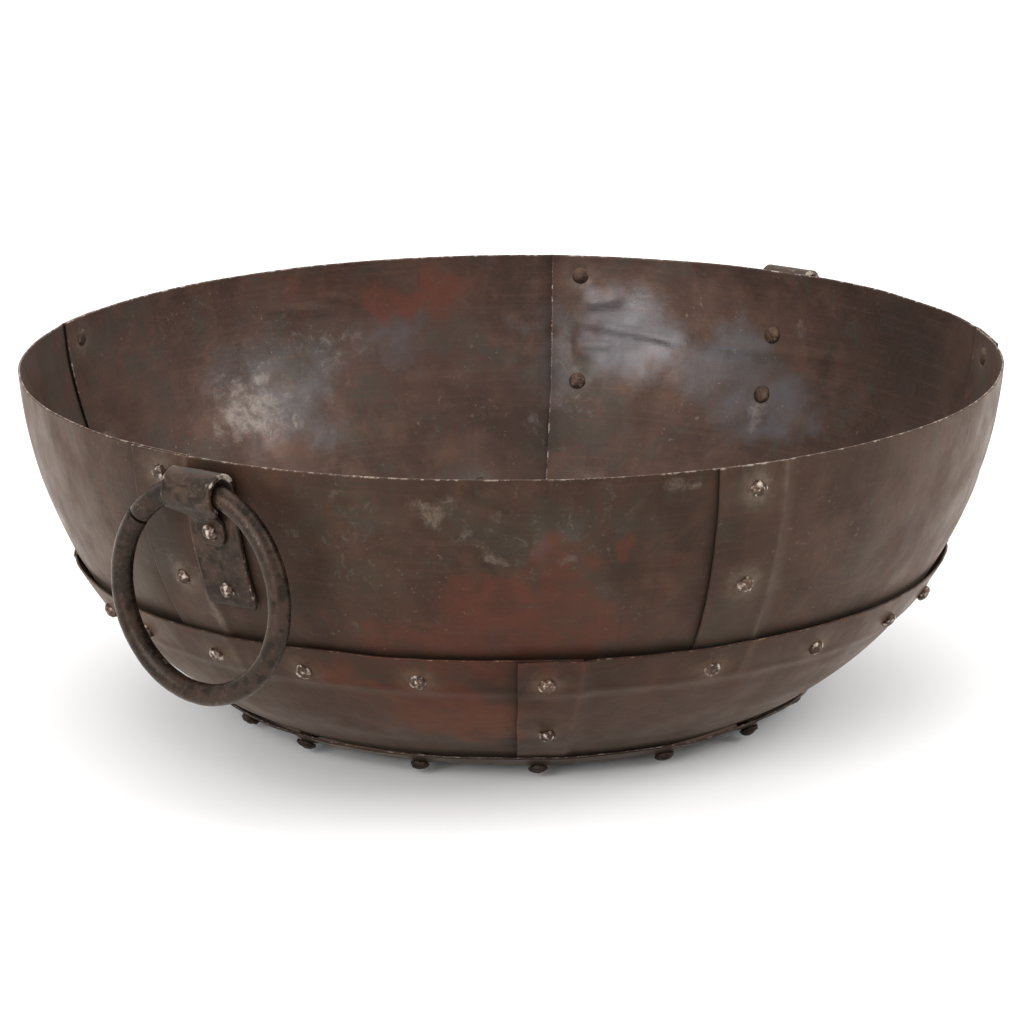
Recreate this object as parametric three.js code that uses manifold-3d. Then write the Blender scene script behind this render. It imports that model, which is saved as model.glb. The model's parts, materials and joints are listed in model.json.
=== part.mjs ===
// A riveted metal fire bowl: curved sheets lapped and riveted into two rings and a base dish,
// with two ring handles that swing in folded straps. Millimetres, +Z up, origin at the centre of
// the flat underside, handles near the X axis.
import * as THREE from "three";
import { mergeVertices } from "three/addons/utils/BufferGeometryUtils.js";
import Module from "manifold-3d";

const wasm = await Module();
wasm.setup();

// ---- Driving dimensions ----
const rimRadius = 299; // outer face of the innermost sheet at the rim
const sheet = 1.3; // sheet thickness
const gap = 0.3; // air left between pieces that touch
const lapGap = 0.6; // looser fit where one ring laps another
const step = sheet + gap; // how far out a sheet sits on the sheet below it
const overlapDeg = 8; // width of an upright seam
const stationDeg = 6.4; // widest facet between seams
const dishFacets = 54;

// Widest facets down the wall.
const upperPitch = 24;
const lowerPitch = 30;
const lapPitch = 13;
const flangePitch = 10;
const floorPitch = 26;
const leafPitch = 16;

// The wall line runs from the rim to the centre of the underside. Slopes are from level.
const rimSlope = 86;
const waistSlope = 60;
const flangeSlope = 29;
const dishSlope = 6;
const upperBend = 262;
const lowerBend = 208;
const flangeRun = 12;
const heelBend = 60;
const floorBend = 450;

// Distances down the wall line from the rim.
const upperFoot = 143;
const lowerTop = 117;
const lowerFoot = 252;
const dishTop = 232;
const waistRivetAt = 135;
const lowerRivetAt = 188;
const flangeRivetAt = 245;

// Angles in degrees, counted from -Y towards +X. A seam starts at its sheet's outer edge.
const upperSeams = [-32, 40, 112, 188, 260];
const lowerSeams = [-54, 34, 126, 214];
const highSeamRivetsAt = [14, 14, 14, 14, 13]; // down from the rim, one for each upper seam
const lowSeamRivetsAt = [74, 80, 86, 82, 79];
const rivetInSeamDeg = 4.4;
const waistRivetDegs = [
  -66.2, -50.3, -29, -12.6, 3.5, 17, 38.4, 58, 77, 96,
  114, 130.4, 150, 172, 195, 218.4, 239, 250, 264.5, 278.4,
];
const flangeRivetDegs = [-50, -2, 38.4, 85, 130.4, 175, 218.4, 261.5];
// The waist lap was fitted lower on one side of the bowl than on the other.
const lapDip = 24;
const lapHighDeg = -55;
const dipStartDeg = 70; // round from where the lap is highest
const dipEndDeg = 145;
const holeReachDeg = 1.5; // how far round the bowl a hole's rim can reach

// Rivets: a domed head inside the bowl and a hammered tail outside.
const rivetSides = 6;
const shankRadius = 2.5;
const shankHole = 2.95;
const headRadius = 6;
const headHeight = 2.8;
const tailRadius = 4.2;
const tailHeight = 3.6;
const headGap = 1; // clears the flats of the faceted sheets
const tailGap = 0.3;
const domeShoulder = 0.7; // of the head's radius and height
const tailShoulder = 0.72; // of the tail's radius
const drillPast = 2; // how far a hole is cut past each end of its shank

// Handles
const strapWidth = 34;
const strapThick = 3;
const tailPast = 12; // from the low rivet to the foot of the tail
const tonguePast = 10; // from the high rivet to the foot of the tongue
const boreRadius = 9;
const boreSides = 20;
const sweepRun = 9; // from under the eye to where the front leaf lands on the tail
const ringHalfHeight = 59.5; // to the middle of the rod, as it hangs
const ringHalfWidth = 55.5;
const rodRadius = 6.5;
const rodSides = 8;
const ringSteps = 40;
const ringRise = 1; // rod centre above the bore centre at the middle of the strap
const ringSlit = 1.3;
const ringSlitDeg = 49; // from the top of the ring

const rad = THREE.MathUtils.degToRad;

// ---- Materials ----
const metal = (color, roughness, metalness) =>
  new THREE.MeshStandardMaterial({ color, roughness, metalness });
const upperFinish = metal(0x4a3c34, 0.5, 0.85);
const lowerFinish = metal(0x55402f, 0.48, 0.85);
const dishFinish = metal(0x3d322d, 0.55, 0.85);
const rivetFinish = metal(0x6b5a50, 0.45, 0.9);
const forgedFinish = metal(0x3a302e, 0.5, 0.85);

// ---- The wall line ----
const slopeNormal = (slope) => new THREE.Vector2(Math.sin(rad(slope)), -Math.cos(rad(slope)));

function buildWallLine() {
  const line = new THREE.Path();
  const at = new THREE.Vector2(rimRadius, 0);
  const bend = (radius, from, to) => {
    const centre = at.clone().addScaledVector(slopeNormal(from), -radius);
    line.absarc(centre.x, centre.y, radius, rad(from - 90), rad(to - 90), true);
    at.copy(centre).addScaledVector(slopeNormal(to), radius);
  };
  bend(upperBend, rimSlope, waistSlope);
  bend(lowerBend, waistSlope, flangeSlope);
  at.x -= flangeRun * Math.cos(rad(flangeSlope));
  at.y -= flangeRun * Math.sin(rad(flangeSlope));
  line.lineTo(at.x, at.y);
  bend(heelBend, flangeSlope, dishSlope);
  bend(floorBend, dishSlope, 0);
  line.lineTo(0, at.y);
  return line;
}
const wallLine = buildWallLine();
const wallLength = wallLine.getLength();
const footRun = wallLength - wallLine.curves.at(-1).getLength(); // where the flat underside begins

function wallAt(down) {
  const t = THREE.MathUtils.clamp(down / wallLength, 0, 1);
  const tangent = wallLine.getTangent(t);
  return { point: wallLine.getPoint(t), normal: new THREE.Vector2(-tangent.y, tangent.x) };
}

// ---- Sheet levels: how far each sheet's outer face stands out from the wall line ----
const lowerBase = step + lapGap + sheet;
const dishLevel = lowerBase + step + lapGap + sheet;
const rimHeight = dishLevel - wallLine.getPoint(1).y; // the underside is at z = 0

const turn = (deg) => ((deg % 360) + 360) % 360;
const nextSeam = (seams, i) => (i + 1 < seams.length ? seams[i + 1] : seams[0] + 360);

function dipAt(deg) {
  const aside = Math.abs(turn(deg - lapHighDeg + 180) - 180);
  return lapDip * THREE.MathUtils.smoothstep(aside, dipStartDeg, dipEndDeg);
}

// A sheet's rows slide down with the waist lap, and its far edge stays where it is.
function dipped(down, deg) {
  const above = down / lowerTop;
  const below = (dishTop - down) / (dishTop - upperFoot);
  return down + dipAt(deg) * THREE.MathUtils.clamp(Math.min(above, below), 0, 1);
}

// A sheet starts outside its neighbour and eases in until it ends under the next one.
function sheetShift(from, to, deg) {
  const free = (deg - from - overlapDeg) / (to - from - 2 * overlapDeg);
  return step * (1 - THREE.MathUtils.smoothstep(free, 0, 1));
}

// Inner and outer face of a ring of sheets at an angle.
function ringFaces(seams, base, deg) {
  for (let i = 0; i < seams.length; i++) {
    const past = turn(deg - seams[i]);
    const span = nextSeam(seams, i) - seams[i];
    if (past >= span) continue;
    if (past <= overlapDeg) return { inner: base - sheet, outer: base + step };
    const shift = sheetShift(0, span + overlapDeg, past);
    return { inner: base + shift - sheet, outer: base + shift };
  }
  return { inner: base - sheet, outer: base + step };
}

// ---- Solids ----
function solidOf(geometry) {
  const bare = new THREE.BufferGeometry();
  const loose = geometry.index ? geometry.toNonIndexed() : geometry;
  bare.setAttribute("position", loose.getAttribute("position").clone());
  const merged = mergeVertices(bare, 1e-3);
  return new wasm.Manifold(
    new wasm.Mesh({
      numProp: 3,
      vertProperties: merged.attributes.position.array,
      triVerts: new Uint32Array(merged.index.array),
    }),
  );
}

function geometryOf(solid) {
  const mesh = solid.getMesh();
  const geometry = new THREE.BufferGeometry();
  geometry.setAttribute("position", new THREE.BufferAttribute(mesh.vertProperties, 3));
  geometry.setIndex(new THREE.BufferAttribute(mesh.triVerts, 1));
  geometry.computeVertexNormals();
  return geometry;
}

const piece = (name, geometry, material) => {
  const mesh = new THREE.Mesh(geometry, material);
  mesh.name = name;
  return mesh;
};

// Evenly spaced distances from a to b, with no step over the given one.
function evenly(a, b, most) {
  const count = Math.ceil((b - a) / most);
  return Array.from({ length: count + 1 }, (_, i) => a + ((b - a) * i) / count);
}

// The closed outline of a sheet in the (radius, height) half plane, and its outward normals.
function sheetOutline(downs, level) {
  const faces = downs.map(wallAt);
  const outer = faces.map((f) => f.point.clone().addScaledVector(f.normal, level));
  const inner = faces.map((f) => f.point.clone().addScaledVector(f.normal, level - sheet));
  const normals = faces.map((f) => f.normal);
  return {
    points: [...inner, ...outer.reverse()],
    normals: [...normals, ...normals.slice().reverse()],
  };
}

// A sheet bent round the bowl: the outline swept through the stations, each moved out by its shift.
function curvedSheet(downs, level, stations, shiftAt) {
  const flat = sheetOutline(downs, level).points;
  const closed = [...flat, flat[0]];
  const swept = new THREE.LatheGeometry(closed, stations.length - 1);
  const position = swept.getAttribute("position");
  stations.forEach((deg, i) => {
    const shift = shiftAt(deg);
    const { points, normals } = sheetOutline(downs.map((down) => dipped(down, deg)), level);
    closed.forEach((_, j) => {
      const k = j % points.length;
      const r = points[k].x + normals[k].x * shift;
      const z = points[k].y + normals[k].y * shift + rimHeight;
      const at = i * closed.length + j;
      position.setXYZ(at, r * Math.sin(rad(deg)), -r * Math.cos(rad(deg)), z);
    });
  });
  const index = Array.from(swept.index.array);
  const last = (stations.length - 1) * closed.length;
  for (const [a, b, c] of THREE.ShapeUtils.triangulateShape(flat.slice(), [])) {
    index.push(a, b, c, last + a, last + c, last + b);
  }
  const geometry = new THREE.BufferGeometry();
  geometry.setAttribute("position", position);
  geometry.setIndex(index);
  return geometry;
}

// ---- Rivets ----
const rivets = [];

// Where the axis of a rivet crosses the wall line, and the way it points out of the bowl.
function rivetFrame(deg, down) {
  const { point, normal } = wallAt(down);
  const around = new THREE.Vector3(Math.sin(rad(deg)), -Math.cos(rad(deg)), 0);
  const out = around.clone().multiplyScalar(normal.x).setZ(normal.y);
  const foot = around.multiplyScalar(point.x).setZ(point.y + rimHeight);
  const tilt = new THREE.Quaternion().setFromUnitVectors(new THREE.Vector3(0, 1, 0), out);
  return { foot, tilt };
}

function planRivet(name, deg, down, inner, outer) {
  rivets.push({ name, deg, down, from: inner - headGap, to: outer + tailGap });
}

function rivetMesh({ name, deg, down, from, to }) {
  const profile = [
    [0, from - headHeight],
    [headRadius * domeShoulder, from - headHeight * domeShoulder],
    [headRadius, from],
    [shankRadius, from],
    [shankRadius, to],
    [tailRadius, to],
    [tailRadius * tailShoulder, to + tailHeight * 0.85],
    [0, to + tailHeight],
  ].map(([x, y]) => new THREE.Vector2(x, y));
  const mesh = piece(name, new THREE.LatheGeometry(profile, rivetSides), rivetFinish);
  const { foot, tilt } = rivetFrame(deg, down);
  mesh.position.copy(foot);
  mesh.quaternion.copy(tilt);
  return mesh;
}

// The hole that a rivet's shank needs, long enough to pass every sheet.
function rivetHole({ deg, down, from, to }) {
  const hole = new THREE.CylinderGeometry(shankHole, shankHole, to - from + 2 * drillPast, rivetSides);
  const { foot, tilt } = rivetFrame(deg, down);
  hole.translate(0, (from + to) / 2, 0);
  hole.applyQuaternion(tilt);
  hole.translate(foot.x, foot.y, foot.z);
  return solidOf(hole);
}

function drilled(geometry, holes) {
  let solid = solidOf(geometry);
  for (const hole of holes) solid = solid.subtract(hole);
  return geometryOf(solid);
}

const upperAt = (deg) => ringFaces(upperSeams, 0, deg);
const lowerAt = (deg) => ringFaces(lowerSeams, lowerBase, deg);

upperSeams.forEach((seam, i) => {
  const deg = seam + rivetInSeamDeg;
  const { inner, outer } = upperAt(deg);
  planRivet(`upper_seam_rivet_${i + 1}_high`, deg, highSeamRivetsAt[i], inner, outer);
  planRivet(`upper_seam_rivet_${i + 1}_low`, deg, lowSeamRivetsAt[i], inner, outer);
});
lowerSeams.forEach((seam, i) => {
  const deg = seam + rivetInSeamDeg;
  const { inner, outer } = lowerAt(deg);
  planRivet(`lower_seam_rivet_${i + 1}`, deg, lowerRivetAt, inner, outer);
});
waistRivetDegs.forEach((deg, i) => {
  const name = `waist_rivet_${String(i + 1).padStart(2, "0")}`;
  const down = waistRivetAt + dipAt(deg);
  planRivet(name, deg, down, upperAt(deg).inner, lowerAt(deg).outer);
});
flangeRivetDegs.forEach((deg, i) => {
  planRivet(`dish_rivet_${i + 1}`, deg, flangeRivetAt, lowerAt(deg).inner, dishLevel);
});

// ---- Handles ----
// Each strap is folded by hand: its place round the rim, its bore below the rim, its rivets.
const handles = [
  { side: "left", deg: -88.6, drop: 15.5, high: 42, low: 80 },
  { side: "right", deg: 88.9, drop: 12.2, high: 44, low: 84 },
];
const leafInner = step + gap; // back of the strap, clear of the wall
const leafOuter = leafInner + strapThick;
const boreXAt = (drop) => wallAt(drop).point.x + leafOuter + boreRadius;

for (const { side, deg, high, low } of handles) {
  const inner = upperAt(deg).inner;
  const tongue = leafOuter + strapThick;
  planRivet(`strap_rivet_${side}_high`, deg, high, inner, tongue);
  planRivet(`strap_rivet_${side}_low`, deg, low, inner, leafOuter);
}

// A leaf of the strap between two distances down the wall, as an outline in (radius, height).
function leafShape(fromDown, toDown, inner, outer) {
  const downs = evenly(fromDown, toDown, leafPitch).map(wallAt);
  const back = downs.map((f) => f.point.clone().addScaledVector(f.normal, inner));
  const front = downs.map((f) => f.point.clone().addScaledVector(f.normal, outer));
  return new THREE.Shape([...back, ...front.reverse()]);
}

// Extrudes an outline in (radius, height) across the strap, centred on its middle.
function acrossStrap(shape, width, curveSegments = boreSides / 2) {
  const solid = new THREE.ExtrudeGeometry(shape, { depth: width, bevelEnabled: false, curveSegments });
  solid.translate(0, 0, -width / 2);
  solid.rotateX(Math.PI / 2);
  return solidOf(solid);
}

const circle = (x, y, radius) => new THREE.Shape().absarc(x, y, radius, 0, 2 * Math.PI);

function strapSolid({ drop, high, low }) {
  const boreX = boreXAt(drop);
  const tail = acrossStrap(leafShape(drop, low + tailPast, leafInner, leafOuter), strapWidth);
  const tongue = acrossStrap(
    leafShape(drop, high + tonguePast, leafInner, leafOuter + strapThick),
    strapWidth,
  );
  const eye = acrossStrap(circle(boreX, -drop, boreRadius + strapThick), strapWidth);
  // The front leaf sweeps back under the ring to lie on the tail.
  const under = wallAt(drop + boreRadius + strapThick + sweepRun);
  const sweep = new THREE.Shape([
    new THREE.Vector2(boreX - boreRadius, -drop - boreRadius),
    under.point.clone().addScaledVector(under.normal, leafInner),
    under.point.clone().addScaledVector(under.normal, leafOuter + strapThick),
    new THREE.Vector2(boreX + boreRadius * 0.72, -drop - boreRadius * 1.1),
  ]);
  const bore = acrossStrap(circle(boreX, -drop, boreRadius), strapWidth + 2);
  return tail.add(tongue).add(eye).add(acrossStrap(sweep, strapWidth)).subtract(bore);
}

// A bent rod whose ends almost meet, hanging in the YZ plane with its top at the bore.
class RingArc extends THREE.Curve {
  getPoint(t, target = new THREE.Vector3()) {
    const slit = ringSlit / ringHalfWidth;
    const angle = rad(90 + ringSlitDeg) + slit / 2 + t * (2 * Math.PI - slit);
    return target.set(0, ringHalfWidth * Math.cos(angle), ringHalfHeight * Math.sin(angle));
  }
}

function ringGeometry() {
  const section = new THREE.Shape().absarc(0, 0, rodRadius, 0, 2 * Math.PI);
  return new THREE.ExtrudeGeometry(section, {
    steps: ringSteps,
    extrudePath: new RingArc(),
    curveSegments: rodSides / 2,
  });
}

// ---- Assembly ----
const bowl = new THREE.Group();
const holes = rivets.map((rivet) => ({ ...rivet, solid: rivetHole(rivet) }));

// Holes whose shank can cross a sheet between two angles and two distances down the wall.
function holesIn(from, to, top, foot) {
  return holes
    .filter(({ deg }) => turn(deg - from + holeReachDeg) <= to - from + 2 * holeReachDeg)
    .filter(({ deg, down }) => down > dipped(top, deg) && down < dipped(foot, deg))
    .map(({ solid }) => solid);
}

function sheetStations(from, to) {
  const free = evenly(from + overlapDeg, to - overlapDeg, stationDeg);
  return [from, from + overlapDeg / 2, ...free, to - overlapDeg / 2, to];
}

function addSheets(name, seams, base, downs, material) {
  seams.forEach((from, i) => {
    const to = nextSeam(seams, i) + overlapDeg;
    const shiftAt = (deg) => sheetShift(from, to, deg);
    const plain = curvedSheet(downs, base, sheetStations(from, to), shiftAt);
    const punched = drilled(plain, holesIn(from, to, downs[0], downs.at(-1)));
    bowl.add(piece(`${name}_${i + 1}`, punched, material));
  });
}

function addDish() {
  const downs = [
    ...evenly(dishTop, lowerFoot, flangePitch),
    ...evenly(lowerFoot, footRun, floorPitch).slice(1),
  ];
  const { points } = sheetOutline(downs, dishLevel);
  const inside = points.slice(0, downs.length);
  const outside = points.slice(downs.length);
  const underside = new THREE.Vector2(0, -rimHeight);
  const floor = new THREE.Vector2(0, sheet - rimHeight);
  const dish = new THREE.LatheGeometry([underside, ...outside, ...inside, floor], dishFacets);
  dish.rotateX(Math.PI / 2);
  dish.translate(0, 0, rimHeight);
  const punched = drilled(dish, holesIn(0, 360, dishTop, lowerFoot));
  bowl.add(piece("base_dish", punched, dishFinish));
}

const upperDowns = [
  ...evenly(0, lowerTop, upperPitch),
  ...evenly(lowerTop, upperFoot, lapPitch).slice(1),
];
const lowerDowns = [
  ...evenly(lowerTop, upperFoot, lapPitch),
  ...evenly(upperFoot, dishTop, lowerPitch).slice(1),
  ...evenly(dishTop, lowerFoot, flangePitch).slice(1),
];
addSheets("upper_plate", upperSeams, 0, upperDowns, upperFinish);
addSheets("lower_plate", lowerSeams, lowerBase, lowerDowns, lowerFinish);
addDish();
rivets.forEach((rivet) => bowl.add(rivetMesh(rivet)));

for (const plan of handles) {
  const { side, deg, drop, low } = plan;
  const handle = new THREE.Group();
  const toWorld = new THREE.Matrix4().makeRotationZ(rad(deg - 90));
  const strapHoles = holesIn(deg, deg, 0, low + tailPast);
  const strap = geometryOf(strapSolid(plan)).translate(0, 0, rimHeight).applyMatrix4(toWorld);
  handle.add(piece(`handle_strap_${side}`, drilled(strap, strapHoles), forgedFinish));
  const ring = piece(`ring_handle_${side}`, ringGeometry(), forgedFinish);
  const swing = new THREE.Group();
  swing.position.set(boreXAt(drop), 0, rimHeight - drop + ringRise - ringHalfHeight);
  swing.add(ring);
  const turned = new THREE.Group();
  turned.rotation.z = rad(deg - 90);
  turned.add(swing);
  handle.add(turned);
  bowl.add(handle);
}

export default bowl;
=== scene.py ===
import json
import math
from itertools import product

import bpy
import numpy as np
from mathutils import Matrix, Vector


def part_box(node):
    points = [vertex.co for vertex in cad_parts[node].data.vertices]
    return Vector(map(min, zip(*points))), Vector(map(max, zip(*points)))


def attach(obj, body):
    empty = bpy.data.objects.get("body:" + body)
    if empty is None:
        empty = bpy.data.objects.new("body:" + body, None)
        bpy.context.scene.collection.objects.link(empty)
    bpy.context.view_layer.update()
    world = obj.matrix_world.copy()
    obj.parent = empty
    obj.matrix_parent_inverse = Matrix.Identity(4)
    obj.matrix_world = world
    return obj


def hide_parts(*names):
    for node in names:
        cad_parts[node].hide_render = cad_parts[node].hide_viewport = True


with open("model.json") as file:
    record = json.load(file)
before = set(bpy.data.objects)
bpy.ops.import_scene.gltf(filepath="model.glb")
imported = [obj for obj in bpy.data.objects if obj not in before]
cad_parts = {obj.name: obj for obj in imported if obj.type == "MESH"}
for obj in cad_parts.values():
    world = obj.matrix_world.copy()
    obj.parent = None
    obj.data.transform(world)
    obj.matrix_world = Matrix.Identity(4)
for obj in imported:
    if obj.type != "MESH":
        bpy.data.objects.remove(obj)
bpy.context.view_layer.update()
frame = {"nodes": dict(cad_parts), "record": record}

# A riveted fire bowl of oxidised sheet. Lengths are in millimetres until a mesh is made.
# Angles are in degrees round the bowl, from -Y towards +X. "Down" is a distance down the wall
# from the rim, and "out" a distance out of the wall.

nodes = frame["nodes"]
mm = 0.001


# The wall that every sheet follows.

wall = {
    "rimRadius": 299,
    "slopes": (86, 60, 29, 29, 6, 0),  # at the rim, waist, heel, heel, floor edge and floor
    "bends": (262, 208, None, 60, 450),  # bend radius between them, None where it runs straight
    "straight": 12,
    "sheet": 1.3,
    "step": 1.6,  # from one sheet to the sheet lapped on it
    "lapGap": 0.6,
    "overlap": 8,  # degrees that an upright seam covers
    "upperFoot": 143,  # down the wall
    "lowerTop": 117,
    "lowerFoot": 252,
    "dishTop": 232,
    "lapDip": 24,  # how much lower the waist lap sits at the far side
    "lapHigh": -55,  # degrees, where it sits highest
    "dipFrom": 70,  # degrees round from there
    "dipTo": 145,
}
sheet, step = wall["sheet"], wall["step"]
lowerBase = step + wall["lapGap"] + sheet
dishBase = lowerBase + step + wall["lapGap"] + sheet


def traceWall(spacing=0.5):
    at = np.array([wall["rimRadius"], 0.0])
    points, slopesAt, downs, run = [], [], [], 0.0
    for bend, start, end in zip(wall["bends"], wall["slopes"], wall["slopes"][1:]):
        start, end = math.radians(start), math.radians(end)
        length = wall["straight"] if bend is None else bend * (start - end)
        along = np.linspace(0, length, int(length / spacing) + 2)[:-1]
        slope = start + (end - start) * along / length
        if bend is None:
            place = at - np.outer(along, [math.cos(start), math.sin(start)])
            at = at - length * np.array([math.cos(start), math.sin(start)])
        else:
            centre = at - bend * np.array([math.sin(start), -math.cos(start)])
            place = centre + bend * np.stack([np.sin(slope), -np.cos(slope)], 1)
            at = centre + bend * np.array([math.sin(end), -math.cos(end)])
        points.append(place)
        slopesAt.append(slope)
        downs.append(run + along)
        run += length
    points.append(np.array([at, [0.0, at[1]]]))
    slopesAt.append(np.zeros(2))
    downs.append(np.array([run, run + at[0]]))
    return np.concatenate(points), np.concatenate(slopesAt), np.concatenate(downs)


wallPoints, wallSlopes, wallDowns = traceWall()
rimHeight = dishBase - wallPoints[-1, 1]
wallLength = wallDowns[-1]


def onWall(deg, down, out=0.0):
    deg, down, out = np.broadcast_arrays(np.asarray(deg, float), down, out)
    slope = np.interp(down, wallDowns, wallSlopes)
    radius = np.interp(down, wallDowns, wallPoints[:, 0]) + np.sin(slope) * out
    height = np.interp(down, wallDowns, wallPoints[:, 1]) - np.cos(slope) * out + rimHeight
    turn = np.radians(deg)
    return np.stack([radius * np.sin(turn), -radius * np.cos(turn), height], -1)


def outOfWall(deg, down):
    slope = np.interp(down, wallDowns, wallSlopes)
    turn = math.radians(deg)
    flat = math.sin(slope)
    return np.array([flat * math.sin(turn), -flat * math.cos(turn), -math.cos(slope)])


def ease(x):
    x = np.clip(x, 0, 1)
    return x * x * (3 - 2 * x)


def clouds(points, size, seed):
    lattice = np.random.default_rng(seed).random((24, 24, 24)) * 2 - 1
    place = points / size
    cell = np.floor(place).astype(int)
    part = place - cell
    part = part * part * (3 - 2 * part)
    total = np.zeros(points.shape[:-1])
    for corner in product((0, 1), repeat=3):
        share = np.prod(np.where(corner, part, 1 - part), -1)
        at = (cell + corner) % 24
        total += share * lattice[at[..., 0], at[..., 1], at[..., 2]]
    return total


def dipAt(deg):
    aside = np.abs((np.asarray(deg, float) - wall["lapHigh"] + 180) % 360 - 180)
    return wall["lapDip"] * ease((aside - wall["dipFrom"]) / (wall["dipTo"] - wall["dipFrom"]))


# Where the frame put the rivets, the sheets and the handles.

def placeOnWall(name):
    low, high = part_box(name)
    centre = np.array((low + high) / 2) / mm
    deg = math.degrees(math.atan2(centre[0], -centre[1]))
    across = wallPoints[:, 0] - np.hypot(centre[0], centre[1])
    gaps = np.hypot(across, wallPoints[:, 1] + rimHeight - centre[2])
    return deg, float(wallDowns[gaps.argmin()])


def sheetSpan(name):
    points = np.array([v.co for v in nodes[name].data.vertices])
    middle = math.atan2(points[:, 0].mean(), -points[:, 1].mean())
    angles = np.arctan2(points[:, 0], -points[:, 1]) - middle
    angles = (angles + math.pi) % (2 * math.pi) - math.pi
    return math.degrees(middle + angles.min()), math.degrees(middle + angles.max())


rivetNames = sorted(n for n in nodes if "rivet" in n)
rivetPlaces = {name: placeOnWall(name) for name in rivetNames}
upperSpans = [sheetSpan(n) for n in sorted(nodes) if n.startswith("upper_plate")]
lowerSpans = [sheetSpan(n) for n in sorted(nodes) if n.startswith("lower_plate")]

# The base lap has a second set of rivets, about halfway between those of the frame.
pastHalf = 1.6  # degrees
dishPlaces = sorted(p for n, p in rivetPlaces.items() if n.startswith("dish"))
nextPlaces = dishPlaces[1:] + [(dishPlaces[0][0] + 360, dishPlaces[0][1])]
extraPlaces = [((a + b) / 2 + pastHalf, down) for (a, down), (b, _) in zip(dishPlaces, nextPlaces)]

handles = {}
for joint in frame["record"]["behaviour"]["joints"]:
    side = joint["child"].split("_")[1]
    x, y, z = (v / mm for v in joint["pos_m"])
    handles[side] = {
        "deg": math.degrees(math.atan2(x, -y)),
        "boreX": math.hypot(x, y),
        "boreZ": z,
        "high": rivetPlaces[f"strap_rivet_{side}_high"][1],
        "low": rivetPlaces[f"strap_rivet_{side}_low"][1],
    }


# How the metal lies: dents, creases and the pull of each rivet.

lie = {
    "swell": (0.75, 78),  # height and size of the slow unevenness
    "dents": (0.30, 31),
    "planish": (0.10, 12),
    "rivetPull": 1.3,  # how far a punched hole pulls the sheet out
    "rivetReach": 5.2,
    "pressed": 0.5,  # how much of the unevenness a rivet presses flat
    "evenFloor": (105, 40),  # radius of the even floor and how slowly it fades
    "quiet": 0.85,  # how even the wall is left behind the handles
    "quietWide": (18, 34),  # to either side, and how slowly it fades
    "quietFoot": (96, 20),
}

creases = [  # from and to (angle, down), depth and half width
    {"ends": ((118, 44), (100, 57)), "depth": 0.9, "wide": 3.2},
    {"ends": ((100, 57), (72, 50)), "depth": 0.7, "wide": 4.0},
    {"ends": ((117, 61), (111, 60)), "depth": 0.8, "wide": 2.4},
    {"ends": ((116, 33), (110, 28)), "depth": 1.0, "wide": 4.5},
    {"ends": ((152, 22), (146, 25)), "depth": 0.5, "wide": 2.6},
    {"ends": ((160, 26), (148, 31)), "depth": 0.5, "wide": 2.4},
    {"ends": ((20, 62), (31, 60)), "depth": 0.5, "wide": 5.0},
    {"ends": ((-20, 200), (-6, 205)), "depth": 0.4, "wide": 5.0},
    {"ends": ((-150, 48), (-141, 70)), "depth": 0.6, "wide": 4.0},
    {"ends": ((58, 165), (64, 190)), "depth": 0.6, "wide": 4.0},
]


def alongCrease(crease, deg, down):
    (degA, downA), (degB, downB) = crease["ends"]
    perDeg = math.radians(1) * np.interp(downA, wallDowns, wallPoints[:, 0])
    across = ((deg - degA + 180) % 360 - 180) * perDeg
    lineAcross, lineDown = (degB - degA) * perDeg, downB - downA
    length = lineAcross**2 + lineDown**2
    share = np.clip((across * lineAcross + (down - downA) * lineDown) / length, 0, 1)
    gap = np.hypot(across - share * lineAcross, down - downA - share * lineDown)
    taper = ease(share / 0.2) * ease((1 - share) / 0.25)
    return taper * np.exp(-((gap / crease["wide"]) ** 2))


pullPlaces = [p for n, p in rivetPlaces.items() if not n.startswith("strap")] + extraPlaces
pullPoints = np.array([onWall(deg, down) for deg, down in pullPlaces])


def metalLie(deg, down, pull=1.0):
    points = onWall(deg, down)
    total = np.zeros(points.shape[:-1])
    for seed, key in enumerate(("swell", "dents", "planish")):
        height, size = lie[key]
        total += height * clouds(points, size, seed + 11)
    radius = np.hypot(points[..., 0], points[..., 1])
    floorRadius, floorFade = lie["evenFloor"]
    total *= ease((radius - floorRadius) / floorFade)
    behind = np.min([np.abs((deg - h["deg"] + 180) % 360 - 180) for h in handles.values()], axis=0)
    aside = behind * math.radians(1) * radius
    quiet = lie["quiet"]
    for place, (edge, fade) in ((aside, lie["quietWide"]), (down, lie["quietFoot"])):
        quiet = quiet * (1 - ease((place - edge) / fade))
    total *= 1 - quiet
    for crease in creases:
        total -= crease["depth"] * alongCrease(crease, deg, down)
    for at in pullPoints:
        gap = np.linalg.norm(points - at, axis=-1)
        near = np.exp(-((gap / lie["rivetReach"]) ** 2))
        total = total * (1 - lie["pressed"] * near) + lie["rivetPull"] * pull * near
    return total


# Stains, kept in the mesh as how much rust, bloom, soot and orange each place has. Some patches on the inner
# wall are painted reflection, not stains.

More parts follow.
